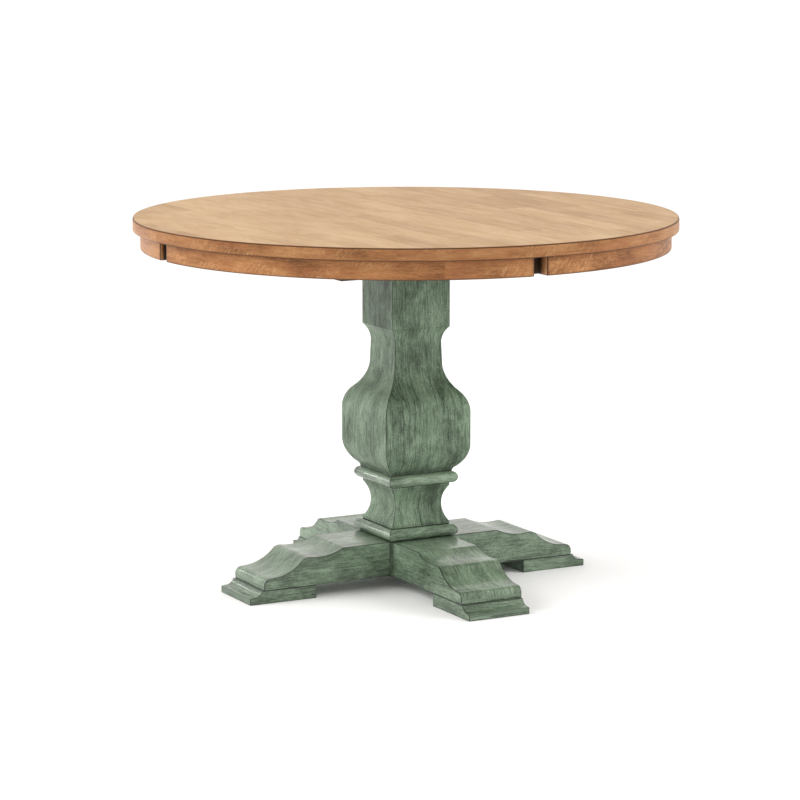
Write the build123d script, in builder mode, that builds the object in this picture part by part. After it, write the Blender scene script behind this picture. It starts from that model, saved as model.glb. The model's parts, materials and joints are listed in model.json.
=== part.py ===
"""Round pedestal dining table: a banded wooden top on a square vase column with four feet.

Millimetres, +Z up. The origin is on the floor under the centre of the column.
The feet point along +X, +Y, -X and -Y, and the staves of the top run along X.
"""

from math import asin, cos, degrees, radians, sin
import os

from build123d import *

# ---- driving dimensions ----
TABLE_HEIGHT = 764.0
TOP_RADIUS = 559.0
TOP_THICKNESS = 25.4
VENEER_THICKNESS = 0.9
VENEER_SETBACK = 1.2
RIM_WIDTH = 22.0
RIM_EASING = 2.0
RIM_SEGMENTS = 6
FIRST_RIM_JOINT = 30.0

APRON_OVERHANG = 15.0
APRON_HEIGHT = 38.0
APRON_THICKNESS = 32.0
APRON_GAP = 28.0
APRON_END_EASING = 3.0
APRON_JOINT_ANGLE = 69.6

BATTEN_WIDTH = 70.0
BATTEN_CLEARANCE = 4.0
BATTEN_SCREW_STATIONS = (70.0, 350.0, 470.0)
PLATE_SIZE = 610.0
PLATE_THICKNESS = 18.6
PLATE_SCREW_STATIONS = (150.0, 280.0)
PLATE_SCREW_OFFSET = 20.0

BLOCK_HALF = 66.8
NECK_TOP_HALF = 53.9
NECK_BASE_HALF = 55.6
BELLY_HALF = 98.7
SHOULDER_HALF = 80.7
COLUMN_FOOT_HALF = 70.6
BEAD_HEIGHT = 25.0
BEAD_CORE_HALF = 67.8
WAIST_HALF = 66.8
WAIST_THROAT_HALF = 54.3
WAIST_FILLET = 5.5
HUB_HALF = 73.5

LEG_TOP = 98.5
LEG_HALF_WIDTH = 69.1
LEG_FLAT_END = 180.0
LEG_NOSE = 361.0
PAD_HEIGHT = 27.0
PAD_INNER_END = 243.9
PAD_OUTER_END = 393.0
PAD_LIP_HEIGHT = 13.0

FIT = 0.05
BOLT_CLEARANCE = 0.5
TIE_ROD_RADIUS = 6.0
TIE_BORE_RADIUS = 7.0
TIE_POCKET_RADIUS = 17.0
TIE_POCKET_DEPTH = 16.0
TIE_WASHER_RADIUS = 15.0
TIE_WASHER_THICKNESS = 2.5
TIE_NUT_RADIUS = 11.0
TIE_NUT_HEIGHT = 10.0
LEG_ROD_RADIUS = 5.0
LEG_ROD_BORE_RADIUS = 5.5
LEG_ROD_SPACING = 28.0
LEG_ROD_REACH = 55.0
LEG_ROD_END_CLEARANCE = 2.0
TIE_ROD_STAND_OUT = 2.0
BARREL_REACH = 45.0
BARREL_RADIUS = 8.0
BARREL_HEIGHT = 18.0
DOWEL_RADIUS = 6.0
DOWEL_LENGTH = 60.0
DOWEL_SPACING = 52.0
LOW_FIXING_Z = 52.0
HIGH_FIXING_Z = 76.0

SCREW_RADIUS = 2.25
SCREW_HEAD_RADIUS = 4.5
SCREW_HEAD_HEIGHT = 3.0
APRON_SCREW_LENGTH = 40.0
APRON_SCREW_RECESS = 14.0
APRON_SCREW_ANGLES = (12, 35, 58)
BATTEN_SCREW_LENGTH = 45.0
BATTEN_SCREW_RECESS = 10.0
PLATE_SCREW_LENGTH = 40.0
PAD_SCREW_LENGTH = 45.0
PAD_SCREW_RECESS = 5.0
PAD_SCREW_INSETS = (25.0, 30.0)
FLUSH = 0.0

COLUMN_BOLT_SPACING = 46.0
COLUMN_BOLT_RADIUS = 4.0
COLUMN_BOLT_LENGTH = 42.0
COLUMN_BOLT_HEAD_RADIUS = 7.4
COLUMN_BOLT_HEAD_HEIGHT = 5.5
COLUMN_WASHER_RADIUS = 9.0
COLUMN_WASHER_THICKNESS = 1.6
INSERT_RADIUS = 6.5
INSERT_LENGTH = 25.0

# ---- heights and radii that follow from them ----
TOP_UNDERSIDE = TABLE_HEIGHT - TOP_THICKNESS
VENEER_UNDERSIDE = TABLE_HEIGHT - VENEER_THICKNESS
CORE_RADIUS = TOP_RADIUS - RIM_WIDTH
APRON_RADIUS = TOP_RADIUS - APRON_OVERHANG
APRON_INNER_RADIUS = APRON_RADIUS - APRON_THICKNESS
APRON_BOTTOM = TOP_UNDERSIDE - APRON_HEIGHT
PLATE_UNDERSIDE = APRON_BOTTOM - PLATE_THICKNESS
BATTEN_HALF_LENGTH = APRON_INNER_RADIUS - BATTEN_CLEARANCE

LOWER_BEAD_BASE = LEG_TOP
WAIST_BASE = LOWER_BEAD_BASE + BEAD_HEIGHT
UPPER_BEAD_BASE = 210.5
COLUMN_BASE = UPPER_BEAD_BASE + BEAD_HEIGHT
BELLY_BASE = 294.0
BELLY_TOP = 361.0
SHOULDER_Z = 404.7
NECK_BASE = 456.0
NECK_TOP = 503.0
BLOCK_BASE = 537.0
REACH = 2 * BELLY_HALF

# ---- outline points: distance from the axis, then height; a "bow" is the middle of an arc ----
COLUMN_FOOT_TOP = (COLUMN_FOOT_HALF, 238.0)
COLUMN_FLARE = (73.0, 242.5)
FLARE_BOW = (90.0, 262.0)
BELLY_BOTTOM_POINT = (BELLY_HALF, BELLY_BASE)
BELLY_TOP_POINT = (BELLY_HALF, BELLY_TOP)
SHOULDER_BOW = (94.3, 383.8)
SHOULDER = (SHOULDER_HALF, SHOULDER_Z)
NECK_BOW = (64.6, 426.5)
NECK_BOTTOM_POINT = (NECK_BASE_HALF, NECK_BASE)
NECK_TOP_POINT = (NECK_TOP_HALF, NECK_TOP)
BLOCK_BOW = (56.7, 520.2)
BLOCK_BOTTOM_POINT = (BLOCK_HALF, BLOCK_BASE)

LEG_COVE_START = (LEG_FLAT_END, LEG_TOP)
LEG_COVE_BOW = (214.0, 87.2)
LEG_CREST = (257.0, 86.3)
LEG_CREST_BOW = (266.8, 85.6)
LEG_FALL = (274.0, 82.0)
LEG_FALL_BOW = (299.0, 62.6)
LEG_TOE = (338.0, 51.3)
LEG_LIP = (348.0, 50.6)
LEG_NOSE_BOW = (357.4, 46.0)
LEG_NOSE_TOP = (LEG_NOSE, 36.0)

PAD_COVE_START = (366.0, PAD_HEIGHT)
PAD_COVE_BOW = (371.6, 18.9)
PAD_COVE_END = (381.0, 15.0)
PAD_LIP_BREAK = (391.5, 14.0)

FOOT_ANGLES = {"right": 0, "back": 90, "left": 180, "front": 270}
CROSSWISE_FEET = ("right", "left")
UPWARD = (Align.CENTER, Align.CENTER, Align.MIN)

os.makedirs("parts", exist_ok=True)


def finish(piece, name):
    """Label one finished sub-part and write it to its own file."""
    piece.part.label = name
    export_step(piece.part, f"parts/{name}.step")


def polar_point(radius, angle, height=0.0):
    """A point at a radius and an angle in degrees round the table's axis."""
    return (radius * cos(radians(angle)), radius * sin(radians(angle)), height)


def upright_plane(angle):
    """The vertical plane through the axis whose local X points along an angle."""
    direction = radians(angle)
    return Plane(
        origin=(0, 0, 0),
        x_dir=(cos(direction), sin(direction), 0),
        z_dir=(sin(direction), -cos(direction), 0),
    )


def facing_plane(angle, distance):
    """The vertical plane at a distance from the axis that faces outwards along an angle."""
    direction = radians(angle)
    return Plane(
        origin=polar_point(distance, angle),
        x_dir=(-sin(direction), cos(direction), 0),
        z_dir=(cos(direction), sin(direction), 0),
    )


def both_ways(spacing, height):
    """Two places left and right of a facing plane's middle, at one height."""
    return [(-spacing, height), (spacing, height)]


def side_places(angle, distance, spacing):
    """Two plan points left and right of a foot's centre line, at a distance from the axis."""
    plane = facing_plane(angle, distance)
    points = [plane.from_local_coords(Vector(side * spacing, 0, 0)) for side in (-1, 1)]
    return [(point.X, point.Y) for point in points]


def fixing_heights(foot):
    """Heights of a foot's threaded rods and dowels; neighbouring feet swap the two."""
    if foot in CROSSWISE_FEET:
        return LOW_FIXING_Z, HIGH_FIXING_Z
    return HIGH_FIXING_Z, LOW_FIXING_Z


def upward_screws(places, head_z, recess, length, grow=0.0, mode=Mode.ADD):
    """Countersunk screws pointing up, their heads a recess above head_z.

    The same call, grown and in subtract mode, cuts their holes.
    """
    seat = head_z + recess
    if recess > 0 and mode == Mode.SUBTRACT:
        with Locations(*[(x, y, head_z) for x, y in places]):
            Cylinder(SCREW_HEAD_RADIUS + grow, recess, align=UPWARD, mode=mode)
    with Locations(*[(x, y, seat) for x, y in places]):
        Cone(
            SCREW_HEAD_RADIUS + grow,
            SCREW_RADIUS + grow,
            SCREW_HEAD_HEIGHT,
            align=UPWARD,
            mode=mode,
        )
        Cylinder(SCREW_RADIUS + grow, length + grow, align=UPWARD, mode=mode)


# ---- where the fixings go ----
GAP_HALF_ANGLE = degrees(asin(APRON_GAP / 2 / APRON_RADIUS))
APRON_SCREW_RADIUS = APRON_RADIUS - APRON_THICKNESS / 2
apron_blocks = []
for quarter in range(4):
    quarter_start = 90 * quarter
    joint = quarter_start + APRON_JOINT_ANGLE
    long_start = quarter_start + GAP_HALF_ANGLE
    short_stop = quarter_start + 90 - GAP_HALF_ANGLE
    long_screws = [quarter_start + angle for angle in APRON_SCREW_ANGLES]
    short_screws = [(joint + short_stop) / 2]
    apron_blocks.append((long_start, joint, long_start, long_screws))
    apron_blocks.append((joint, short_stop, short_stop, short_screws))
apron_screw_places = [
    polar_point(APRON_SCREW_RADIUS, angle)[:2]
    for block in apron_blocks
    for angle in block[3]
]

LENGTHWISE_SCREW_PLACES = [(side * x, 0) for x in BATTEN_SCREW_STATIONS for side in (-1, 1)]
CROSSWISE_SCREW_PLACES = [(0, side * y) for y in BATTEN_SCREW_STATIONS for side in (-1, 1)]
LENGTHWISE_PLATE_PLACES = [
    (end * x, side * PLATE_SCREW_OFFSET)
    for x in PLATE_SCREW_STATIONS
    for end in (-1, 1)
    for side in (-1, 1)
]
CROSSWISE_PLATE_PLACES = [(y, x) for x, y in LENGTHWISE_PLATE_PLACES]
COLUMN_BOLT_PLACES = [
    (x, y)
    for x in (-COLUMN_BOLT_SPACING, COLUMN_BOLT_SPACING)
    for y in (-COLUMN_BOLT_SPACING, COLUMN_BOLT_SPACING)
]

# ---- tabletop: face veneer, core board and a rim of sawn segments ----
with BuildPart() as face_veneer:
    with BuildSketch(Plane.XY.offset(VENEER_UNDERSIDE)):
        Circle(TOP_RADIUS - VENEER_SETBACK)
    extrude(amount=VENEER_THICKNESS)
finish(face_veneer, "face_veneer")

with BuildPart() as core_board:
    with BuildSketch(Plane.XY.offset(TOP_UNDERSIDE)):
        Circle(CORE_RADIUS)
    extrude(amount=TOP_THICKNESS - VENEER_THICKNESS)
    upward_screws(
        apron_screw_places, APRON_BOTTOM, APRON_SCREW_RECESS, APRON_SCREW_LENGTH, FIT, Mode.SUBTRACT
    )
    upward_screws(
        LENGTHWISE_SCREW_PLACES + CROSSWISE_SCREW_PLACES,
        APRON_BOTTOM,
        BATTEN_SCREW_RECESS,
        BATTEN_SCREW_LENGTH,
        FIT,
        Mode.SUBTRACT,
    )
finish(core_board, "core_board")

RIM_ARC = 360 / RIM_SEGMENTS
for number in range(RIM_SEGMENTS):
    rim_start = FIRST_RIM_JOINT + number * RIM_ARC
    with BuildPart() as rim_segment:
        with BuildSketch(upright_plane(rim_start)):
            with Locations((CORE_RADIUS, TOP_UNDERSIDE)):
                rim_section = Rectangle(
                    RIM_WIDTH, TOP_THICKNESS - VENEER_THICKNESS, align=(Align.MIN, Align.MIN)
                )
            fillet(rim_section.vertices().group_by(Axis.X)[-1], RIM_EASING)
        revolve(axis=Axis.Z, revolution_arc=RIM_ARC)
    finish(rim_segment, f"rim_segment_{number + 1}")

# ---- apron: two sawn blocks in each quarter, with a gap over each foot ----
for number, (start, stop, gap_end, screw_angles) in enumerate(apron_blocks, 1):
    with BuildPart() as apron_block:
        with BuildSketch(Plane.XY.offset(APRON_BOTTOM)) as block_plan:
            with BuildLine():
                CenterArc((0, 0), APRON_RADIUS, start, stop - start)
                CenterArc((0, 0), APRON_INNER_RADIUS, start, stop - start)
                Line(polar_point(APRON_INNER_RADIUS, start), polar_point(APRON_RADIUS, start))
                Line(polar_point(APRON_INNER_RADIUS, stop), polar_point(APRON_RADIUS, stop))
            make_face()
            eased_corner = Vector(*polar_point(APRON_RADIUS, gap_end))
            fillet(block_plan.vertices().sort_by_distance(eased_corner)[0], APRON_END_EASING)
        extrude(amount=APRON_HEIGHT)
        upward_screws(
            [polar_point(APRON_SCREW_RADIUS, angle)[:2] for angle in screw_angles],
            APRON_BOTTOM,
            APRON_SCREW_RECESS,
            APRON_SCREW_LENGTH,
            FIT,
            Mode.SUBTRACT,
        )
    finish(apron_block, f"apron_block_{number}")

# ---- under the top: two half-lapped battens and the square mounting plate ----
with BuildPart() as lengthwise_batten:
    with BuildSketch(Plane.XY.offset(APRON_BOTTOM)):
        Rectangle(2 * BATTEN_HALF_LENGTH, BATTEN_WIDTH)
    extrude(amount=APRON_HEIGHT)
    with BuildSketch(Plane.XY.offset(APRON_BOTTOM)):
        Rectangle(BATTEN_WIDTH, BATTEN_WIDTH)
    extrude(amount=APRON_HEIGHT / 2, mode=Mode.SUBTRACT)
    upward_screws(
        LENGTHWISE_SCREW_PLACES,
        APRON_BOTTOM,
        BATTEN_SCREW_RECESS,
        BATTEN_SCREW_LENGTH,
        FIT,
        Mode.SUBTRACT,
    )
    upward_screws(
        LENGTHWISE_PLATE_PLACES, PLATE_UNDERSIDE, FLUSH, PLATE_SCREW_LENGTH, FIT, Mode.SUBTRACT
    )
finish(lengthwise_batten, "lengthwise_batten")

with BuildPart() as crosswise_batten:
    with BuildSketch(Plane.XY.offset(APRON_BOTTOM)):
        Rectangle(BATTEN_WIDTH, 2 * BATTEN_HALF_LENGTH)
    extrude(amount=APRON_HEIGHT)
    with BuildSketch(Plane.XY.offset(APRON_BOTTOM + APRON_HEIGHT / 2)):
        Rectangle(BATTEN_WIDTH, BATTEN_WIDTH)
    extrude(amount=APRON_HEIGHT / 2, mode=Mode.SUBTRACT)
    upward_screws(
        CROSSWISE_SCREW_PLACES,
        APRON_BOTTOM,
        BATTEN_SCREW_RECESS,
        BATTEN_SCREW_LENGTH,
        FIT,
        Mode.SUBTRACT,
    )
    upward_screws(
        CROSSWISE_PLATE_PLACES, PLATE_UNDERSIDE, FLUSH, PLATE_SCREW_LENGTH, FIT, Mode.SUBTRACT
    )
finish(crosswise_batten, "crosswise_batten")

with BuildPart() as mounting_plate:
    with BuildSketch(Plane.XY.offset(PLATE_UNDERSIDE)):
        Rectangle(PLATE_SIZE, PLATE_SIZE)
        with Locations(*COLUMN_BOLT_PLACES):
            Circle(COLUMN_BOLT_RADIUS + BOLT_CLEARANCE, mode=Mode.SUBTRACT)
    extrude(amount=PLATE_THICKNESS)
    upward_screws(
        LENGTHWISE_PLATE_PLACES + CROSSWISE_PLATE_PLACES,
        PLATE_UNDERSIDE,
        FLUSH,
        PLATE_SCREW_LENGTH,
        FIT,
        Mode.SUBTRACT,
    )
finish(mounting_plate, "mounting_plate")

# ---- column pieces: one outline on all four sides, mitred at the corners ----
with BuildPart() as vase_column:
    with BuildSketch(Plane.XZ) as vase_outline:
        with BuildLine():
            Polyline((0, COLUMN_BASE), (COLUMN_FOOT_HALF, COLUMN_BASE), COLUMN_FOOT_TOP, COLUMN_FLARE)
            ThreePointArc(COLUMN_FLARE, FLARE_BOW, BELLY_BOTTOM_POINT)
            Line(BELLY_BOTTOM_POINT, BELLY_TOP_POINT)
            ThreePointArc(BELLY_TOP_POINT, SHOULDER_BOW, SHOULDER)
            ThreePointArc(SHOULDER, NECK_BOW, NECK_BOTTOM_POINT)
            Line(NECK_BOTTOM_POINT, NECK_TOP_POINT)
            ThreePointArc(NECK_TOP_POINT, BLOCK_BOW, BLOCK_BOTTOM_POINT)
            Polyline(BLOCK_BOTTOM_POINT, (BLOCK_HALF, PLATE_UNDERSIDE), (0, PLATE_UNDERSIDE))
            mirror(about=Plane.YZ)
        make_face()
    extrude(amount=REACH, both=True)
    with BuildSketch(Plane.YZ):
        add(vase_outline.sketch_local)
    extrude(amount=REACH, both=True, mode=Mode.INTERSECT)
    with BuildSketch(Plane.XY.offset(COLUMN_BASE)):
        Circle(TIE_BORE_RADIUS)
    extrude(amount=PLATE_UNDERSIDE - COLUMN_BASE, mode=Mode.SUBTRACT)
    with BuildSketch(Plane.XY.offset(PLATE_UNDERSIDE)):
        Circle(TIE_POCKET_RADIUS)
    extrude(amount=-TIE_POCKET_DEPTH, mode=Mode.SUBTRACT)
    with BuildSketch(Plane.XY.offset(PLATE_UNDERSIDE)):
        with Locations(*COLUMN_BOLT_PLACES):
            Circle(INSERT_RADIUS + FIT)
    extrude(amount=-COLUMN_BOLT_LENGTH, mode=Mode.SUBTRACT)
finish(vase_column, "vase_column")

for bead_name, bead_base in {"upper_bead": UPPER_BEAD_BASE, "lower_bead": LOWER_BEAD_BASE}.items():
    bead_top = bead_base + BEAD_HEIGHT
    with BuildPart() as bead:
        with BuildSketch(Plane.XZ) as bead_outline:
            with BuildLine():
                Line((0, bead_base), (BEAD_CORE_HALF, bead_base))
                ThreePointArc(
                    (BEAD_CORE_HALF, bead_base),
                    (BEAD_CORE_HALF + BEAD_HEIGHT / 2, bead_base + BEAD_HEIGHT / 2),
                    (BEAD_CORE_HALF, bead_top),
                )
                Line((BEAD_CORE_HALF, bead_top), (0, bead_top))
                mirror(about=Plane.YZ)
            make_face()
        extrude(amount=REACH, both=True)
        with BuildSketch(Plane.YZ):
            add(bead_outline.sketch_local)
        extrude(amount=REACH, both=True, mode=Mode.INTERSECT)
        with BuildSketch(Plane.XY.offset(bead_base)):
            Circle(TIE_BORE_RADIUS)
        extrude(amount=BEAD_HEIGHT, mode=Mode.SUBTRACT)
    finish(bead, bead_name)

with BuildPart() as waist_block:
    throat_base = WAIST_BASE + WAIST_FILLET
    throat_top = UPPER_BEAD_BASE - WAIST_FILLET
    with BuildSketch(Plane.XZ) as waist_outline:
        with BuildLine():
            Polyline((0, WAIST_BASE), (WAIST_HALF, WAIST_BASE), (WAIST_HALF, throat_base))
            ThreePointArc(
                (WAIST_HALF, throat_base),
                (WAIST_THROAT_HALF, (throat_base + throat_top) / 2),
                (WAIST_HALF, throat_top),
            )
            Polyline((WAIST_HALF, throat_top), (WAIST_HALF, UPPER_BEAD_BASE), (0, UPPER_BEAD_BASE))
            mirror(about=Plane.YZ)
        make_face()
    extrude(amount=REACH, both=True)
    with BuildSketch(Plane.YZ):
        add(waist_outline.sketch_local)
    extrude(amount=REACH, both=True, mode=Mode.INTERSECT)
    with BuildSketch(Plane.XY.offset(WAIST_BASE)):
        Circle(TIE_BORE_RADIUS)
    extrude(amount=UPPER_BEAD_BASE - WAIST_BASE, mode=Mode.SUBTRACT)
finish(waist_block, "waist_block")

# ---- base: hub post, four feet and their pads ----
with BuildPart() as hub_post:
    with BuildSketch(Plane.XY.offset(PAD_HEIGHT)):
        Rectangle(2 * HUB_HALF, 2 * HUB_HALF)
        Circle(TIE_BORE_RADIUS, mode=Mode.SUBTRACT)
    extrude(amount=LEG_TOP - PAD_HEIGHT)
    with BuildSketch(Plane.XY.offset(PAD_HEIGHT)):
        Circle(TIE_POCKET_RADIUS)
    extrude(amount=TIE_POCKET_DEPTH, mode=Mode.SUBTRACT)
    for foot, angle in FOOT_ANGLES.items():
        rod_z, dowel_z = fixing_heights(foot)
        with BuildSketch(facing_plane(angle, HUB_HALF)):
            with Locations(*both_ways(LEG_ROD_SPACING, rod_z)):
                Circle(LEG_ROD_BORE_RADIUS)
        extrude(amount=-HUB_HALF, mode=Mode.SUBTRACT)
        with BuildSketch(facing_plane(angle, HUB_HALF)):
            with Locations(*both_ways(DOWEL_SPACING, dowel_z)):
                Circle(DOWEL_RADIUS + FIT)
        extrude(amount=-(DOWEL_LENGTH / 2 + FIT), mode=Mode.SUBTRACT)
finish(hub_post, "hub_post")

PAD_SCREW_DISTANCES = (PAD_INNER_END + PAD_SCREW_INSETS[0], LEG_NOSE - PAD_SCREW_INSETS[1])
for foot, angle in FOOT_ANGLES.items():
    rod_z, dowel_z = fixing_heights(foot)
    barrel_places = side_places(angle, HUB_HALF + BARREL_REACH, LEG_ROD_SPACING)
    pad_screw_points = [
        place
        for distance in PAD_SCREW_DISTANCES
        for place in side_places(angle, distance, LEG_HALF_WIDTH / 2)
    ]

    with BuildPart() as leg:
        with BuildSketch(upright_plane(angle)):
            with BuildLine():
                Polyline((LEG_NOSE, PAD_HEIGHT), (HUB_HALF, PAD_HEIGHT), (HUB_HALF, LEG_TOP), LEG_COVE_START)
                ThreePointArc(LEG_COVE_START, LEG_COVE_BOW, LEG_CREST)
                ThreePointArc(LEG_CREST, LEG_CREST_BOW, LEG_FALL)
                ThreePointArc(LEG_FALL, LEG_FALL_BOW, LEG_TOE)
                Line(LEG_TOE, LEG_LIP)
                ThreePointArc(LEG_LIP, LEG_NOSE_BOW, LEG_NOSE_TOP)
                Line(LEG_NOSE_TOP, (LEG_NOSE, PAD_HEIGHT))
            make_face()
        extrude(amount=LEG_HALF_WIDTH, both=True)
        with BuildSketch(facing_plane(angle, HUB_HALF)):
            with Locations(*both_ways(LEG_ROD_SPACING, rod_z)):
                Circle(LEG_ROD_BORE_RADIUS)
        extrude(amount=LEG_ROD_REACH + LEG_ROD_END_CLEARANCE, mode=Mode.SUBTRACT)
        with BuildSketch(facing_plane(angle, HUB_HALF)):
            with Locations(*both_ways(DOWEL_SPACING, dowel_z)):
                Circle(DOWEL_RADIUS + FIT)
        extrude(amount=DOWEL_LENGTH / 2 + FIT, mode=Mode.SUBTRACT)
        with BuildSketch(Plane.XY.offset(PAD_HEIGHT)):
            with Locations(*barrel_places):
                Circle(BARREL_RADIUS + FIT)
        extrude(amount=rod_z + BARREL_HEIGHT / 2 - PAD_HEIGHT, mode=Mode.SUBTRACT)
        upward_screws(pad_screw_points, 0, PAD_SCREW_RECESS, PAD_SCREW_LENGTH, FIT, Mode.SUBTRACT)
    finish(leg, f"leg_{foot}")

    with BuildPart() as foot_pad:
        with BuildSketch(upright_plane(angle)):
            with BuildLine():
                Polyline((PAD_OUTER_END, 0), (PAD_INNER_END, 0), (PAD_INNER_END, PAD_HEIGHT), PAD_COVE_START)
                ThreePointArc(PAD_COVE_START, PAD_COVE_BOW, PAD_COVE_END)
                Polyline(PAD_COVE_END, PAD_LIP_BREAK, (PAD_OUTER_END, PAD_LIP_HEIGHT), (PAD_OUTER_END, 0))
            make_face()
        extrude(amount=LEG_HALF_WIDTH, both=True)
        upward_screws(pad_screw_points, 0, PAD_SCREW_RECESS, PAD_SCREW_LENGTH, FIT, Mode.SUBTRACT)
    finish(foot_pad, f"foot_pad_{foot}")

    with BuildPart() as pad_screws:
        upward_screws(pad_screw_points, 0, PAD_SCREW_RECESS, PAD_SCREW_LENGTH)
    finish(pad_screws, f"pad_screws_{foot}")

    with BuildPart() as leg_dowels:
        with BuildSketch(facing_plane(angle, HUB_HALF - DOWEL_LENGTH / 2)):
            with Locations(*both_ways(DOWEL_SPACING, dowel_z)):
                Circle(DOWEL_RADIUS)
        extrude(amount=DOWEL_LENGTH)
    finish(leg_dowels, f"leg_dowels_{foot}")

    with BuildPart() as barrel_nuts:
        with BuildSketch(Plane.XY.offset(rod_z - BARREL_HEIGHT / 2)):
            with Locations(*barrel_places):
                Circle(BARREL_RADIUS)
        extrude(amount=BARREL_HEIGHT)
        with BuildSketch(facing_plane(angle, HUB_HALF)):
            with Locations(*both_ways(LEG_ROD_SPACING, rod_z)):
                Circle(LEG_ROD_RADIUS + FIT)
        extrude(amount=LEG_ROD_REACH, mode=Mode.SUBTRACT)
    finish(barrel_nuts, f"barrel_nuts_{foot}")

# ---- steel fixings ----
for rods_name, foot in {"lengthwise_leg_rods": "right", "crosswise_leg_rods": "back"}.items():
    rod_z = fixing_heights(foot)[0]
    with BuildPart() as leg_rods:
        with BuildSketch(facing_plane(FOOT_ANGLES[foot], 0)):
            with Locations(*both_ways(LEG_ROD_SPACING, rod_z)):
                Circle(LEG_ROD_RADIUS)
        extrude(amount=HUB_HALF + LEG_ROD_REACH, both=True)
    finish(leg_rods, rods_name)

LOWER_POCKET_ROOF = PAD_HEIGHT + TIE_POCKET_DEPTH
UPPER_POCKET_FLOOR = PLATE_UNDERSIDE - TIE_POCKET_DEPTH
TIE_ROD_BASE = LOWER_POCKET_ROOF - TIE_WASHER_THICKNESS - TIE_NUT_HEIGHT - TIE_ROD_STAND_OUT
TIE_ROD_END = UPPER_POCKET_FLOOR + TIE_WASHER_THICKNESS + TIE_NUT_HEIGHT + TIE_ROD_STAND_OUT
with BuildPart() as tie_rod:
    with BuildSketch(Plane.XY.offset(TIE_ROD_BASE)):
        Circle(TIE_ROD_RADIUS)
    extrude(amount=TIE_ROD_END - TIE_ROD_BASE)
finish(tie_rod, "tie_rod")

with BuildPart() as tie_rod_washers:
    for washer_base in (LOWER_POCKET_ROOF - TIE_WASHER_THICKNESS, UPPER_POCKET_FLOOR):
        with BuildSketch(Plane.XY.offset(washer_base)):
            Circle(TIE_WASHER_RADIUS)
            Circle(TIE_BORE_RADIUS, mode=Mode.SUBTRACT)
        extrude(amount=TIE_WASHER_THICKNESS)
finish(tie_rod_washers, "tie_rod_washers")

with BuildPart() as tie_rod_nuts:
    lower_nut_base = LOWER_POCKET_ROOF - TIE_WASHER_THICKNESS - TIE_NUT_HEIGHT
    upper_nut_base = UPPER_POCKET_FLOOR + TIE_WASHER_THICKNESS
    for nut_base in (lower_nut_base, upper_nut_base):
        with BuildSketch(Plane.XY.offset(nut_base)):
            RegularPolygon(TIE_NUT_RADIUS, 6)
            Circle(TIE_ROD_RADIUS + FIT, mode=Mode.SUBTRACT)
        extrude(amount=TIE_NUT_HEIGHT)
finish(tie_rod_nuts, "tie_rod_nuts")

with BuildPart() as column_inserts:
    with BuildSketch(Plane.XY.offset(PLATE_UNDERSIDE - INSERT_LENGTH)):
        with Locations(*COLUMN_BOLT_PLACES):
            Circle(INSERT_RADIUS)
            Circle(COLUMN_BOLT_RADIUS + FIT, mode=Mode.SUBTRACT)
    extrude(amount=INSERT_LENGTH)
finish(column_inserts, "column_inserts")

with BuildPart() as column_washers:
    with BuildSketch(Plane.XY.offset(APRON_BOTTOM)):
        with Locations(*COLUMN_BOLT_PLACES):
            Circle(COLUMN_WASHER_RADIUS)
            Circle(COLUMN_BOLT_RADIUS + BOLT_CLEARANCE, mode=Mode.SUBTRACT)
    extrude(amount=COLUMN_WASHER_THICKNESS)
finish(column_washers, "column_washers")

with BuildPart() as column_bolts:
    head_base = APRON_BOTTOM + COLUMN_WASHER_THICKNESS
    with BuildSketch(Plane.XY.offset(head_base)):
        with Locations(*COLUMN_BOLT_PLACES):
            RegularPolygon(COLUMN_BOLT_HEAD_RADIUS, 6)
    extrude(amount=COLUMN_BOLT_HEAD_HEIGHT)
    with BuildSketch(Plane.XY.offset(head_base)):
        with Locations(*COLUMN_BOLT_PLACES):
            Circle(COLUMN_BOLT_RADIUS)
    extrude(amount=-COLUMN_BOLT_LENGTH)
finish(column_bolts, "column_bolts")

with BuildPart() as apron_screws:
    upward_screws(apron_screw_places, APRON_BOTTOM, APRON_SCREW_RECESS, APRON_SCREW_LENGTH)
finish(apron_screws, "apron_screws")

with BuildPart() as batten_screws:
    upward_screws(
        LENGTHWISE_SCREW_PLACES + CROSSWISE_SCREW_PLACES,
        APRON_BOTTOM,
        BATTEN_SCREW_RECESS,
        BATTEN_SCREW_LENGTH,
    )
finish(batten_screws, "batten_screws")

with BuildPart() as plate_screws:
    upward_screws(
        LENGTHWISE_PLATE_PLACES + CROSSWISE_PLATE_PLACES, PLATE_UNDERSIDE, FLUSH, PLATE_SCREW_LENGTH
    )
finish(plate_screws, "plate_screws")
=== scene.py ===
"""Looks of a round pedestal table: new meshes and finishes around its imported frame.

Metres, +Z up, origin on the floor under the column. The feet point along the X and Y axes.
"""

import json
import math

import bmesh
import bpy
from bpy.props import FloatProperty, FloatVectorProperty, PointerProperty
from mathutils import Matrix, Vector


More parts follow.
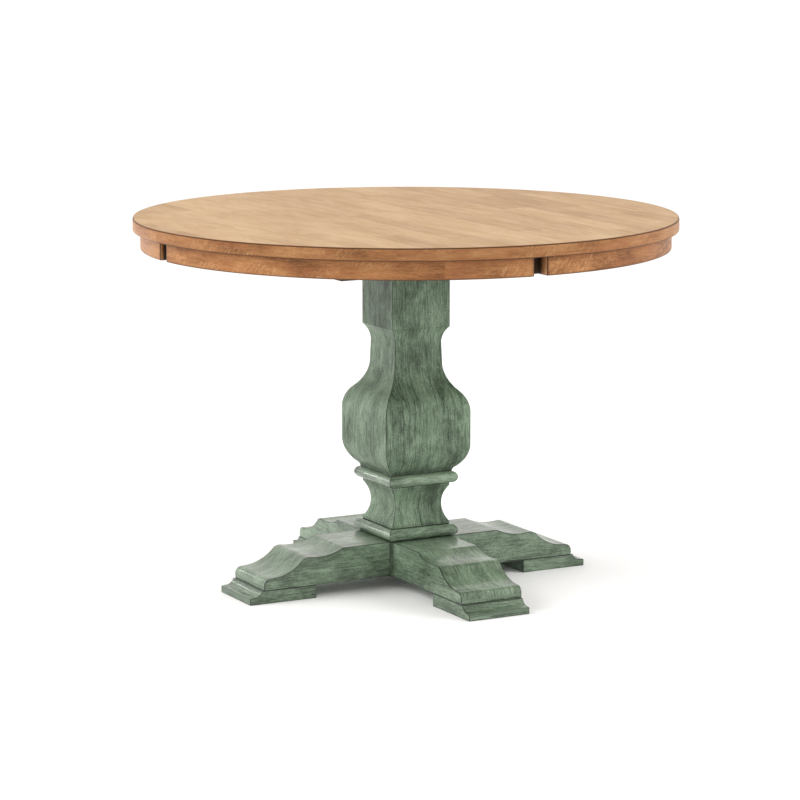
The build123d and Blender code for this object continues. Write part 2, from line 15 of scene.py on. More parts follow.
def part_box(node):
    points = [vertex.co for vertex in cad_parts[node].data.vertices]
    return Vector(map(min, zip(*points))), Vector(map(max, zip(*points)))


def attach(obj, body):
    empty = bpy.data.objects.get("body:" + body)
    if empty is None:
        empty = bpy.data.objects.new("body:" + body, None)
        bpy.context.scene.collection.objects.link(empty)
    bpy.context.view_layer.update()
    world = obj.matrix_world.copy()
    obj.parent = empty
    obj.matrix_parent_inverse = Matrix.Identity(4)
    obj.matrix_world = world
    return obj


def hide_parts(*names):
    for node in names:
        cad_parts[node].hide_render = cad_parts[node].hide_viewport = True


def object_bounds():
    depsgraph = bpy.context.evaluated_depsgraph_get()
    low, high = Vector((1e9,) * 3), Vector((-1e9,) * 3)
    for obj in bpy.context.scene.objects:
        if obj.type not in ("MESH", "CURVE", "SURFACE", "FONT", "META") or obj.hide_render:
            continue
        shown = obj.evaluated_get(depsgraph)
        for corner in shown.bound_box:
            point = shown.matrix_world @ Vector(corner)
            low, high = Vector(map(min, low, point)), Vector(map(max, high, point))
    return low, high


bl_info = {
    "name": "Round pedestal table",
    "version": (1, 0, 0),
    "blender": (4, 5, 0),
    "location": "View3D > Sidebar > Pedestal table",
    "description": "Builds the visible pieces, finishes and studio of a round pedestal table",
    "category": "Add Mesh",
}

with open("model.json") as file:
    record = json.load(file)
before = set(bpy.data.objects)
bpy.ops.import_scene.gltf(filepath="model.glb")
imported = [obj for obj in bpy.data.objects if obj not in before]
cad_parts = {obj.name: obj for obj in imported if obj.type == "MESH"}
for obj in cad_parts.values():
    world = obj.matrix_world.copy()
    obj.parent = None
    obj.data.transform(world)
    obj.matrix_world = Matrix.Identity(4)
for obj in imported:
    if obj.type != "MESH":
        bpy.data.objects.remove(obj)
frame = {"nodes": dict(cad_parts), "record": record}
CAD_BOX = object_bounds()

# ---- places read from the frame ----
VENEER_LOW, VENEER_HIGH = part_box("face_veneer")
CORE_LOW, CORE_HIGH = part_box("core_board")
APRON_LOW, APRON_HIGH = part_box("apron_block_1")
LEG_LOW, LEG_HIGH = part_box("leg_right")
PAD_LOW, PAD_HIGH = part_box("foot_pad_right")
HUB_LOW, HUB_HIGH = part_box("hub_post")
VASE_LOW, VASE_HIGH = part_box("vase_column")
WAIST_LOW, WAIST_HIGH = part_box("waist_block")
UPPER_BEAD_LOW, UPPER_BEAD_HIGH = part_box("upper_bead")
LOWER_BEAD_LOW, LOWER_BEAD_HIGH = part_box("lower_bead")

# ---- sizes that the boxes don't give ----
TOP_RADIUS = CAD_BOX[1][0]
RIM_SEGMENTS = 6
RIM_ARC = math.tau / RIM_SEGMENTS
FIRST_RIM_JOINT = math.radians(30)
APRON_RADIUS = TOP_RADIUS - 0.015
APRON_THICKNESS = 0.032
APRON_GAP = 0.028
APRON_JOINT = math.radians(69.6)
BEAD_CORE_HALF = 0.0678
BLOCK_BASE = 0.537
VENEER_EASING = 0.0003
STAVE_WIDTH = 0.058
STAVE_LENGTH = 0.42
QUARTER = math.pi / 2
FOOT_TURNS = {"right": 0, "back": 1, "left": 2, "front": 3}

# ---- steps of the shapes, and the limits that tell arrises, sides and sawn ends apart ----
ARC_STEP = 0.0028
STRAIGHT_STEP = 0.012
SPIN_STEP = math.radians(1)
CORNER_ANGLE = math.radians(22)
SMOOTH_ANGLE = math.radians(35)
TOUCHING = 0.0001
SIDE_FACING = 0.7
END_FACING = 0.9
VERTEX_LAYERS = ("run", "corner", "depth")

# ---- dark line along the arrises and a wider painted shade beside it: a spare makes the line narrower ----
BAND_WIDTH = 0.0025
ARRIS_CORE = 0.0008
SHADE_WIDTH = 0.0050
BLUNT_ANGLE = math.radians(60)
BLUNT_SPARE = 0.0015
UPRIGHT_SPARE = 0.0006
END_SPREAD = 1.7

# ---- tones: how much lighter a finish is, and how fast each sawn end's painted shade falls inwards; on the column's block, a foot's sides and the sawn ends they are painted light and shade ----
RIM_TONES = (0.05, -0.04, 0.02, 0.05, -0.03, 0.06)
APRON_TONES = (-0.10, -0.01, -0.06, 0.03, -0.02, 0.0, -0.05, -0.02)
# painted light on the outer edge of a sawn end in the apron's gaps, and painted shade that deepens inwards
# by the falls
END_PAINTED_LIGHT = 0.6
END_SHADE_FALLS = (42.0, 125.0)
# painted light on the block's two sides facing along X, and painted shade on the two facing along Y
BLOCK_PAINTED_LIGHT = (0.04, -0.11)
BLOCK_PAINTED_BASE = BLOCK_BASE + 0.0005
# painted shade on a foot's sides, deepest by the hub
SIDE_PAINTED_SHADE = -0.02
PAD_TONE = -0.06

# ---- places in the noise, so far apart that no two boards or sides have the same figure ----
RING_STEP = 3.7
APRON_BOARD = 30.0
COLUMN_STEP = 7.3
HUB_BOARD = 41.0
FOOT_BOARD = 60.0
FOOT_STEP = 11.3
PAD_STEP = 4.9
X_SIDE_SHIFT = 1.3
Y_SIDE_SHIFT = 2.9
FOOT_SIDE_SHIFT = 1.7

# ---- how the surfaces shine: a clear coat is its weight and roughness ----
BRUSHED_COAT = (0.2, 0.34)
POLISHED_COAT = (0.8, 0.18)
BURNISHED_COAT = (1.0, 0.12)
COAT_IOR = 1.45
SOFT_SPECULAR = 0.2
SATIN_SPECULAR = 0.3

# ---- studio: a light's place is steps towards the camera, to its right and up ----
KEY_PLACE = (0.9, -3.2, 2.5)
KEY_SIZE = (2.4, 2.0)
FILL_PLACE = (0.6, 3.4, 1.9)
FILL_SIZE = (2.5, 2.5)
GLINT_PLACE = (-0.608, -1.072, 0.46)
GLINT_SIZE = (0.02, 0.4)
LIT_POINT = Vector((0, 0, 0.4))
FLOOR_RADIUS = 60
FLOOR_COLOUR = (0.95, 0.95, 0.96, 1)
SURROUND_COLOUR = (1.0, 0.985, 0.955, 1)


# ---- sizes and colours that a user would change ----
class TableFinishSettings(bpy.types.PropertyGroup):
    """Colours of the table's finishes, and how far its arrises are eased."""

    wood_dark: FloatVectorProperty(
        name="Wood, dark", description="Darker figure of the stained wood", subtype="COLOR",
        default=(0.15, 0.057, 0.019), min=0, max=1)
    wood_mid: FloatVectorProperty(
        name="Wood, middle", description="Main colour of the stained wood", subtype="COLOR",
        default=(0.312, 0.135, 0.048), min=0, max=1)
    wood_light: FloatVectorProperty(
        name="Wood, light", description="Lighter figure of the stained wood", subtype="COLOR",
        default=(0.45, 0.228, 0.092), min=0, max=1)
    wood_red: FloatVectorProperty(
        name="Wood, red", description="Redder patches in the stained wood", subtype="COLOR",
        default=(0.29, 0.104, 0.041), min=0, max=1)
    wood_fleck: FloatVectorProperty(
        name="Wood fleck", description="Pale ray flecks in the stained wood", subtype="COLOR",
        default=(0.48, 0.27, 0.12), min=0, max=1)
    # Painted light on the outer part of the sawn ends in the apron's gaps.
    sawn_end_painted_light: FloatVectorProperty(
        name="Wood end", description="Sawn end grain in the apron's gaps", subtype="COLOR",
        default=(0.66, 0.34, 0.16), min=0, max=1)
    # Also laid as a wider painted shade beside the rim's and apron's arrises.
    wood_line: FloatVectorProperty(
        name="Wood line", description="Dark stain left along the arrises", subtype="COLOR",
        default=(0.06, 0.024, 0.009), min=0, max=1)
    top_dark: FloatVectorProperty(
        name="Top, dark", description="Darker staves of the face", subtype="COLOR",
        default=(0.31, 0.173, 0.070), min=0, max=1)
    top_mid: FloatVectorProperty(
        name="Top, middle", description="Main colour of the face", subtype="COLOR",
        default=(0.405, 0.245, 0.115), min=0, max=1)
    top_light: FloatVectorProperty(
        name="Top, light", description="Lighter staves of the face", subtype="COLOR",
        default=(0.485, 0.320, 0.165), min=0, max=1)
    green_light: FloatVectorProperty(
        name="Green, light", description="Paint where the glaze was wiped off", subtype="COLOR",
        default=(0.235, 0.322, 0.222), min=0, max=1)
    green_mid: FloatVectorProperty(
        name="Green, middle", description="Main colour of the glazed paint", subtype="COLOR",
        default=(0.122, 0.178, 0.116), min=0, max=1)
    # Also laid as a faint painted shade beside the painted arrises.
    green_dark: FloatVectorProperty(
        name="Green, dark", description="Paint under the thickest glaze", subtype="COLOR",
        default=(0.040, 0.061, 0.038), min=0, max=1)
    # Also laid as the near-black painted shade deep in the apron's sawn ends.
    dark_glaze_and_gap_shade: FloatVectorProperty(
        name="Glaze line", description="Dark glaze left along the arrises", subtype="COLOR",
        default=(0.012, 0.014, 0.010), min=0, max=1)
    easing: FloatProperty(
        name="Arris easing", description="Width of the rounding on painted arrises",
        default=0.0009, min=0.0002, max=0.003, unit="LENGTH")
    wood_easing: FloatProperty(
        name="Wood easing", description="Width of the rounding on the rim and apron",
        default=0.0020, min=0.0002, max=0.004, unit="LENGTH")
    line_width: FloatProperty(
        name="Glaze line width", description="How far the dark line spreads from an arris",
        default=0.0021, min=0.001, max=0.006, unit="LENGTH")


class TableStudioSettings(bpy.types.PropertyGroup):
    """Camera and lights of the studio."""

    camera_distance: FloatProperty(
        name="Camera distance", description="From the table's axis, on the level",
        default=6.4447, min=1, unit="LENGTH")
    camera_height: FloatProperty(
        name="Camera height", description="Above the floor", default=1.4919, min=0, unit="LENGTH")
    camera_side: FloatProperty(
        name="Camera offset", description="Sideways step to the left", default=0.01215, unit="LENGTH")
    camera_azimuth: FloatProperty(
        name="Camera azimuth", description="0 looks along +Y", default=math.radians(61.88),
        subtype="ANGLE", unit="ROTATION")
    camera_pitch: FloatProperty(
        name="Camera pitch", description="Downward tilt", default=math.radians(9.8),
        subtype="ANGLE", unit="ROTATION")
    lens: FloatProperty(
        name="Lens", description="Focal length on a 36 mm sensor", default=142.06, unit="CAMERA")
    key_power: FloatProperty(
        name="Key light", description="Power of the large light on the left", default=90.0, unit="POWER")
    fill_power: FloatProperty(
        name="Fill light", description="Power of the light on the right", default=62.0, unit="POWER")
    glint_power: FloatProperty(
        name="Glint light", description="Power of the small light behind on the left", default=0.55,
        unit="POWER")
    sky_strength: FloatProperty(
        name="Surround", description="Brightness of the white surround", default=1.1, min=0)


# ---- outlines: points of (distance from the axis, height), in order ----
def arc_points(start, bow, end):
    """Points on the arc from start to end through its middle, after the start."""
    (ax, ay), (bx, by), (cx, cy) = start, bow, end
    area = 2 * (ax * (by - cy) + bx * (cy - ay) + cx * (ay - by))
    a2, b2, c2 = ax * ax + ay * ay, bx * bx + by * by, cx * cx + cy * cy
    centre = Vector((
        (a2 * (by - cy) + b2 * (cy - ay) + c2 * (ay - by)) / area,
        (a2 * (cx - bx) + b2 * (ax - cx) + c2 * (bx - ax)) / area,
    ))
    first, middle, last = (Vector(point) - centre for point in (start, bow, end))
    turn = -first.angle_signed(middle) - middle.angle_signed(last)
    steps = max(2, round(abs(turn) * first.length / ARC_STEP))
    return [
        tuple(centre + Matrix.Rotation(turn * step / steps, 2) @ first)
        for step in range(1, steps + 1)
    ]


def straight_points(*stops):
    """Evenly spaced points along straight runs, after the first stop."""
    points = []
    for start, end in zip(stops, stops[1:]):
        run = Vector(end) - Vector(start)
        steps = max(2, round(run.length / STRAIGHT_STEP))
        points += [tuple(Vector(start) + run * step / steps) for step in range(1, steps + 1)]
    return points


def new_bmesh():
    """An empty bmesh with the layers that the finishes are laid out by."""
    bm = bmesh.new()
    for name in VERTEX_LAYERS:
        bm.verts.layers.float.new(name)
    bm.faces.layers.int.new("end")
    bm.loops.layers.float_vector.new("grain")
    bm.loops.layers.float_vector.new("arris")
    return bm


def draw_outline(bm, outline, to_place, closed=False):
    """Join an outline's points by edges, and keep what each one measures along the outline.

    The run layer holds the length from the start, and the corner layer the way to the
    nearest arris that crosses the outline, a little more to a blunt one.
    """
    points = [Vector(point) for point in outline]
    runs = [0.0]
    for start, end in zip(points, points[1:]):
        runs.append(runs[-1] + (end - start).length)
    girth = runs[-1] + (points[0] - points[-1]).length if closed else math.inf
    corners = [] if closed else [(0.0, 0.0), (runs[-1], 0.0)]
    neighbours = zip(points[-1:] + points, points, points[1:] + points[:1], runs)
    for before, point, after, run in neighbours:
        turn = abs((point - before).angle_signed(after - point))
        if turn > CORNER_ANGLE:
            corners.append((run, BLUNT_SPARE if turn < BLUNT_ANGLE else 0.0))
    run_layer = bm.verts.layers.float["run"]
    corner_layer = bm.verts.layers.float["corner"]
    verts = [bm.verts.new(to_place(point)) for point in points]
    for vert, run in zip(verts, runs):
        ways = [(abs(run - corner), spare) for corner, spare in corners]
        vert[run_layer] = run
        vert[corner_layer] = min(min(way, girth - way) + spare for way, spare in ways)
    following = verts[1:] + verts[:1] if closed else verts[1:]
    edges = [bm.edges.new(pair) for pair in zip(verts, following)]
    return verts, edges


# ---- mesh shapes ----
def mark_ends(bm, faces):
    """Mark flat end faces, and give each a narrow band beside its arrises."""
    end_layer = bm.faces.layers.int["end"]
    depth_layer = bm.verts.layers.float["depth"]
    for face in faces:
        face[end_layer] = 1
        bmesh.ops.inset_region(bm, faces=[face], thickness=BAND_WIDTH, use_even_offset=True)
        for vert in face.verts:
            vert[depth_layer] = BAND_WIDTH


def moulded_square(outline):
    """A square moulding: its mitre spun a quarter turn at a time, and closed above and below."""
    bm = new_bmesh()
    verts, edges = draw_outline(bm, outline, lambda point: (point.x, point.x, point.y))
    bmesh.ops.spin(
        bm, geom=verts + edges, cent=(0, 0, 0), axis=(0, 0, 1), angle=math.tau, steps=4, use_merge=True)
    mouths = [edge for edge in bm.edges if edge.is_boundary]
    caps = bmesh.ops.holes_fill(bm, edges=mouths, sides=4)["faces"]
    mark_ends(bm, caps)
    for normal in ((1, 0, 0), (0, 1, 0)):
        bmesh.ops.bisect_plane(
            bm, geom=bm.verts[:] + bm.edges[:] + bm.faces[:], plane_co=(0, 0, 0), plane_no=normal)
    return bm


def outline_board(outline, half_width, turn):
    """A board cut to an outline seen from its side, turned to its place round the column."""
    bm = new_bmesh()
    verts, _ = draw_outline(bm, outline, lambda point: (point.x, -half_width, point.y), closed=True)
    near_side = bm.faces.new(verts)
    grown = bmesh.ops.extrude_face_region(bm, geom=[near_side], use_keep_orig=True)["geom"]
    far_side = next(item for item in grown if isinstance(item, bmesh.types.BMFace))
    bmesh.ops.translate(bm, vec=(0, 2 * half_width, 0), verts=far_side.verts[:])
    mark_ends(bm, [near_side, far_side])
    bmesh.ops.bisect_plane(
        bm, geom=bm.verts[:] + bm.edges[:] + bm.faces[:], plane_co=(0, 0, 0), plane_no=(0, 1, 0))
    bmesh.ops.rotate(bm, verts=bm.verts[:], cent=(0, 0, 0), matrix=Matrix.Rotation(turn * QUARTER, 3, "Z"))
    return bm


def ring_block(inner, outer, low, high, start, stop):
    """A block of a ring: its square section spun about the table's axis, and closed at its ends."""
    bm = new_bmesh()
    middle, level = (inner + outer) / 2, (low + high) / 2
    section = [
        (inner, low), (middle, low), (outer, low), (outer, level),
        (outer, high), (middle, high), (inner, high), (inner, level),
    ]
    to_start = Matrix.Rotation(start, 3, "Z")
    verts, edges = draw_outline(bm, section, lambda point: to_start @ Vector((point.x, 0, point.y)), True)
    bmesh.ops.spin(
        bm, geom=verts + edges, cent=(0, 0, 0), axis=(0, 0, 1), angle=stop - start,
        steps=max(2, round((stop - start) / SPIN_STEP)))
    mouths = [edge for edge in bm.edges if edge.is_boundary]
    ends = bmesh.ops.holes_fill(bm, edges=mouths, sides=len(section))["faces"]
    mark_ends(bm, ends)
    return bm


def round_arrises(bm, easing, glued_ends=()):
    """Face everything outwards and round every arris, apart from those of glued ends."""
    bmesh.ops.recalc_face_normals(bm, faces=bm.faces[:])
    glued = [Vector((-math.sin(angle), math.cos(angle), 0)) for angle in glued_ends]
    arrises = [
        edge for edge in bm.edges
        if edge.calc_face_angle(0) > CORNER_ANGLE
        and not any(max(abs(vert.co.dot(across)) for vert in edge.verts) < TOUCHING for across in glued)
    ]
    bmesh.ops.bevel(
        bm, geom=arrises, offset=easing, offset_type="OFFSET", affect="EDGES", segments=2,
        profile=0.5, material=-1, clamp_overlap=True)
    bm.normal_update()


def lay_finish(bm, rule):
    """Store on each face corner where it lies in its board, and how near the arrises are.

    The rule takes a face's normal, a place and its run. It gives the grain coordinates, the
    way to the arrises that run beside it, and the tone: how much lighter the finish is there.
    On the column's block, a foot's sides and the sawn ends the tone is painted light and shade.
    """
    run_layer = bm.verts.layers.float["run"]
    corner_layer = bm.verts.layers.float["corner"]
    depth_layer = bm.verts.layers.float["depth"]
    end_layer = bm.faces.layers.int["end"]
    grain_layer = bm.loops.layers.float_vector["grain"]
    arris_layer = bm.loops.layers.float_vector["arris"]
    for face in bm.faces:
        for loop in face.loops:
            vert = loop.vert
            grain, beside, tone = rule(face.normal, vert.co, vert[run_layer])
            loop[grain_layer] = grain
            if face[end_layer]:
                loop[arris_layer] = (vert[depth_layer], vert[depth_layer], tone)
            else:
                loop[arris_layer] = (vert[corner_layer], beside, tone)


def upright_rule(board, crosswise=False):
    """Grain up the four sides of a square moulding, or along them on a bead.

    On the plain block at the column's top, painted shade darkens the two sides facing along Y
    and a little painted light lifts the two facing along X. The upright arrises have a narrower
    line than the level ones.
    """
    def rule(normal, place, run):
        beside = abs(abs(place.x) - abs(place.y)) + UPRIGHT_SPARE
        if abs(normal.x) > abs(normal.y):
            across, shift, painted_block_light = place.y, math.copysign(X_SIDE_SHIFT, normal.x), BLOCK_PAINTED_LIGHT[0]
        else:
            across, shift, painted_block_light = place.x, math.copysign(Y_SIDE_SHIFT, normal.y), BLOCK_PAINTED_LIGHT[1]
        # painted light and shade on the block's sides, above its base
        tone = painted_block_light if place.z > BLOCK_PAINTED_BASE else 0.0
        grain = (across, run, board + shift) if crosswise else (run, across, board + shift)
        return Vector(grain), beside, tone
    return rule


def lengthwise_rule(turn, board, half_width, crosswise=False):
    """Grain out along a foot, over its top and down its nose, or across them on a pad.

    A foot's sides carry painted shade that deepens towards the hub, and the glaze is thicker on a pad.
    """
    back = Matrix.Rotation(-turn * QUARTER, 3, "Z")
    tone = PAD_TONE if crosswise else 0.0

    def rule(normal, place, run):
        local, facing = back @ place, back @ normal
        beside = half_width - abs(local.y)
        if abs(facing.y) > SIDE_FACING:
            # painted shade on the side, deepening towards the hub
            shaded_side_tone = tone + SIDE_PAINTED_SHADE * (1 - local.x / LEG_HIGH.x)
            side = board + math.copysign(FOOT_SIDE_SHIFT, facing.y)
            return Vector((local.x, local.z, side)), beside, shaded_side_tone
        if crosswise:
            return Vector((local.y, -run, board)), beside, tone
        return Vector((-run, local.y, board)), beside, tone
    return rule


def bent_rule(middle, board, tone, open_end=None, end_shade_fall=0.0):
    """Grain round a ring block, measured from the block's middle.

    Only an open end has an arris, with a wider line beside it. The end is sawn across the
    grain and carries painted light at its outer edge; the end shade fall is how fast a painted
    shade darkens it inwards, for each metre.
    """
    def rule(normal, place, run):
        azimuth = math.atan2(place.y, place.x)
        along = math.remainder(azimuth - middle, math.tau) * TOP_RADIUS
        if open_end is None:
            return Vector((along, run, board)), BAND_WIDTH, tone
        if abs(normal.y * math.cos(azimuth) - normal.x * math.sin(azimuth)) > END_FACING:
            # painted light at the sawn end's outer edge, and painted shade deepening inwards
            depth = APRON_RADIUS - place.xy.length
            return Vector((depth, place.z, board)), BAND_WIDTH, END_PAINTED_LIGHT - end_shade_fall * depth
        beside = abs(math.remainder(azimuth - open_end, math.tau)) * TOP_RADIUS / END_SPREAD
        return Vector((along, run, board)), beside, tone
    return rule


def finish_piece(context, name, bm, material, replaced):
    """Turn a bmesh into a piece that rides on the root body and stands for a CAD node."""
    mesh = bpy.data.meshes.new(name)
    bm.to_mesh(mesh)
    bm.free()
    for spare in (*VERTEX_LAYERS, "end"):
        mesh.attributes.remove(mesh.attributes[spare])
    mesh.materials.append(material)
    mesh.shade_smooth()
    mesh.set_sharp_from_angle(angle=SMOOTH_ANGLE)
    piece = bpy.data.objects.new(name, mesh)
    context.scene.collection.objects.link(piece)
    evened = piece.modifiers.new("flat faces shade flat", "WEIGHTED_NORMAL")
    evened.keep_sharp = True
    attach(piece, "root")
    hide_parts(replaced)
    return piece


# ---- materials ----
def new_material(name):
    """An empty node material: its tree, its shader and the material."""
    material = bpy.data.materials.new(name)
    material.use_nodes = True
    tree = material.node_tree
    return material, tree, tree.nodes["Principled BSDF"]


def add_node(tree, kind, inputs=None, **settings):
    """Add one node; inputs are values or sockets to link."""
    made = tree.nodes.new("ShaderNode" + kind)
    for field, value in settings.items():
        setattr(made, field, value)
    for socket, value in (inputs or {}).items():
        if isinstance(value, bpy.types.NodeSocket):
            tree.links.new(value, made.inputs[socket])
        else:
            made.inputs[socket].default_value = value
    return made


def stretched_noise(tree, place, scale, detail=3.0, roughness=0.55, distortion=0.0, shift=(0, 0, 0)):
    """Noise whose features are 1/scale metres long in each direction."""
    mapped = add_node(tree, "Mapping", {"Vector": place, "Scale": scale, "Location": shift})
    made = add_node(tree, "TexNoise", {
        "Vector": mapped.outputs[0], "Scale": 1.0, "Detail": detail,
        "Roughness": roughness, "Distortion": distortion})
    return made.outputs["Fac"]


def calc(tree, operation, first, second=0.0, third=0.0):
    """One maths step."""
    return add_node(tree, "Math", {0: first, 1: second, 2: third}, operation=operation).outputs[0]


def remap(tree, value, low, high, to_low=0.0, to_high=1.0):
    """Stretch a range of values to another, held at its ends."""
    made = add_node(tree, "MapRange", {
        "Value": value, "From Min": low, "From Max": high, "To Min": to_low, "To Max": to_high})
    return made.outputs[0]


def blend(tree, factor, body, colour):
    """Lay a plain colour over the body colour."""
    return add_node(tree, "Mix", {0: factor, 6: body, 7: (*colour, 1.0)}, data_type="RGBA").outputs[2]


def lay_figure(tree, tone, *patterns):
    """The tone with patterns added to it, each by its weight."""
    for pattern, weight in patterns:
        tone = calc(tree, "MULTIPLY_ADD", pattern, weight, tone)
    return tone


def ramp(tree, value, *stops):
    """A colour ramp through (position, colour) stops."""
    made = add_node(tree, "ValToRGB", {"Fac": value})
    points = made.color_ramp.elements
    while len(points) < len(stops):
        points.new(0.5)
    for point, (position, colour) in zip(points, stops):
        point.position = position
        point.color = (*colour, 1.0)
    return made.outputs["Color"]


def add_bump(tree, shader, height, distance):
    """Raise the surface by a height pattern."""
    made = add_node(tree, "Bump", {"Height": height, "Distance": distance, "Strength": 1.0})
    tree.links.new(made.outputs[0], shader.inputs["Normal"])


def read_finish(tree, finish):
    """The grain coordinates, the line and the wider painted shade along the arrises, and the tone."""
    place = add_node(tree, "Attribute", attribute_name="grain").outputs["Vector"]
    ways = add_node(tree, "Attribute", attribute_name="arris").outputs["Vector"]
    split = add_node(tree, "SeparateXYZ", {0: ways})
    nearest = calc(tree, "MINIMUM", split.outputs["X"], split.outputs["Y"])
    line = remap(tree, nearest, ARRIS_CORE, finish.line_width, 1.0, 0.0)
    shade = remap(tree, nearest, ARRIS_CORE, SHADE_WIDTH, 1.0, 0.0)
    return place, line, shade, split.outputs["Z"]


def green_glaze(finish, name, coat_weight, coat_roughness):
    """Sage-green paint with a brushed dark glaze, left thick along every arris."""
    material, tree, shader = new_material(name)
    place, line, shade, tone_and_painted_light = read_finish(tree, finish)
    clouds = stretched_noise(tree, place, (6, 10, 1), detail=3, roughness=0.6)
    patches = stretched_noise(tree, place, (22, 36, 1), detail=4, roughness=0.6, distortion=0.8)
    streaks = stretched_noise(tree, place, (10, 150, 1), detail=4, roughness=0.7)
    fibres = stretched_noise(tree, place, (60, 360, 1), detail=3, roughness=0.8)
    weave = stretched_noise(tree, place, (330, 170, 1), detail=2, roughness=0.8)
    # the tone carries painted light and shade on the column's block and the feet's sides
    tone = lay_figure(
        tree, tone_and_painted_light, (clouds, 0.70), (patches, 0.60), (streaks, 0.50), (fibres, 0.80), (weave, 0.35))
    body = ramp(
        tree, remap(tree, tone, 1.21, 1.73),
        (0.0, finish.green_dark), (0.48, finish.green_mid), (1.0, finish.green_light))
    pores = stretched_noise(tree, place, (130, 480, 1), detail=2, roughness=0.7)
    where = remap(tree, patches, 0.36, 0.62, 0.3, 0.9)
    pores = calc(tree, "MULTIPLY", remap(tree, pores, 0.40, 0.30), where)
    body = blend(tree, pores, body, finish.green_dark)
    strokes = stretched_noise(tree, place, (16, 430, 1), detail=3, roughness=0.6, shift=(7.7, 2.3, 0.0))
    where = remap(tree, calc(tree, "MULTIPLY_ADD", tone_and_painted_light, 2.0, clouds), 0.64, 0.36, 0.15, 0.9)
    strokes = calc(tree, "MULTIPLY", remap(tree, strokes, 0.455, 0.33), where)
    body = blend(tree, strokes, body, finish.dark_glaze_and_gap_shade)
    wander = remap(tree, stretched_noise(tree, place, (60, 60, 1), detail=3), 0.35, 0.6, 0.65, 1.0)
    # painted shade beside the arrises
    body = blend(tree, calc(tree, "MULTIPLY", shade, 0.14), body, finish.green_dark)
    body = blend(tree, calc(tree, "MULTIPLY", line, wander), body, finish.dark_glaze_and_gap_shade)
    tree.links.new(body, shader.inputs["Base Color"])
    tree.links.new(remap(tree, tone, 1.2, 1.75, 0.56, 0.42), shader.inputs["Roughness"])
    shader.inputs["Specular IOR Level"].default_value = SOFT_SPECULAR
    shader.inputs["Coat Weight"].default_value = coat_weight
    shader.inputs["Coat Roughness"].default_value = coat_roughness
    shader.inputs["Coat IOR"].default_value = COAT_IOR
    add_bump(tree, shader, calc(tree, "MULTIPLY_ADD", fibres, 0.6, streaks), 0.00025)
    return material


def stained_wood(finish, name):
    """Warm stained wood of the rim and apron: grain along the block, pale flecks, dark arrises.

    A sawn end gets painted light where its tone is high, and a near-black painted shade where
    it is low.
    """
    material, tree, shader = new_material(name)
    place, line, shade, tone_and_painted_light = read_finish(tree, finish)
    broad = stretched_noise(tree, place, (8, 22, 1), detail=3, roughness=0.55)
    figure = stretched_noise(tree, place, (14, 150, 1), detail=5, roughness=0.65, distortion=0.5)
    fine = stretched_noise(tree, place, (80, 380, 1), detail=3, roughness=0.7)
    tone = lay_figure(tree, tone_and_painted_light, (broad, 0.75), (figure, 0.5), (fine, 0.5))
    body = ramp(
        tree, remap(tree, tone, 0.64, 1.11),
        (0.0, finish.wood_dark), (0.48, finish.wood_mid), (1.0, finish.wood_light))
    redness = stretched_noise(tree, place, (13, 50, 1), detail=2, shift=(5.3, 1.1, 0.0))
    body = blend(tree, remap(tree, redness, 0.45, 0.68, 0.0, 0.45), body, finish.wood_red)
    turned = add_node(
        tree, "VectorRotate", {"Vector": place, "Angle": math.radians(-52)}, rotation_type="Z_AXIS")
    flecks = stretched_noise(
        tree, turned.outputs[0], (80, 330, 1), detail=3, roughness=0.6, distortion=0.8)
    where = stretched_noise(tree, place, (9, 24, 1), detail=1, shift=(3.1, 0.7, 0.0))
    where = remap(tree, where, 0.50, 0.60, 0.0, 0.6)
    flecks = calc(tree, "MULTIPLY", remap(tree, flecks, 0.52, 0.62), where)
    body = blend(tree, flecks, body, finish.wood_fleck)
    # painted light on the outer part of a sawn end
    body = blend(tree, remap(tree, tone_and_painted_light, 0.2, 0.4, 0.0, 0.8), body, finish.sawn_end_painted_light)
    # painted shade deep in a sawn end
    body = blend(tree, remap(tree, tone_and_painted_light, -0.15, -0.45, 0.0, 0.95), body, finish.dark_glaze_and_gap_shade)
    # painted shade beside the arrises
    body = blend(tree, calc(tree, "MULTIPLY", shade, 0.35), body, finish.wood_line)
    body = blend(tree, calc(tree, "MULTIPLY", line, 0.95), body, finish.wood_line)
    tree.links.new(body, shader.inputs["Base Color"])
    tree.links.new(remap(tree, figure, 0.3, 0.7, 0.50, 0.40), shader.inputs["Roughness"])
    shader.inputs["Specular IOR Level"].default_value = SOFT_SPECULAR
    add_bump(tree, shader, calc(tree, "MULTIPLY_ADD", fine, 0.5, figure), 0.00015)
    return material


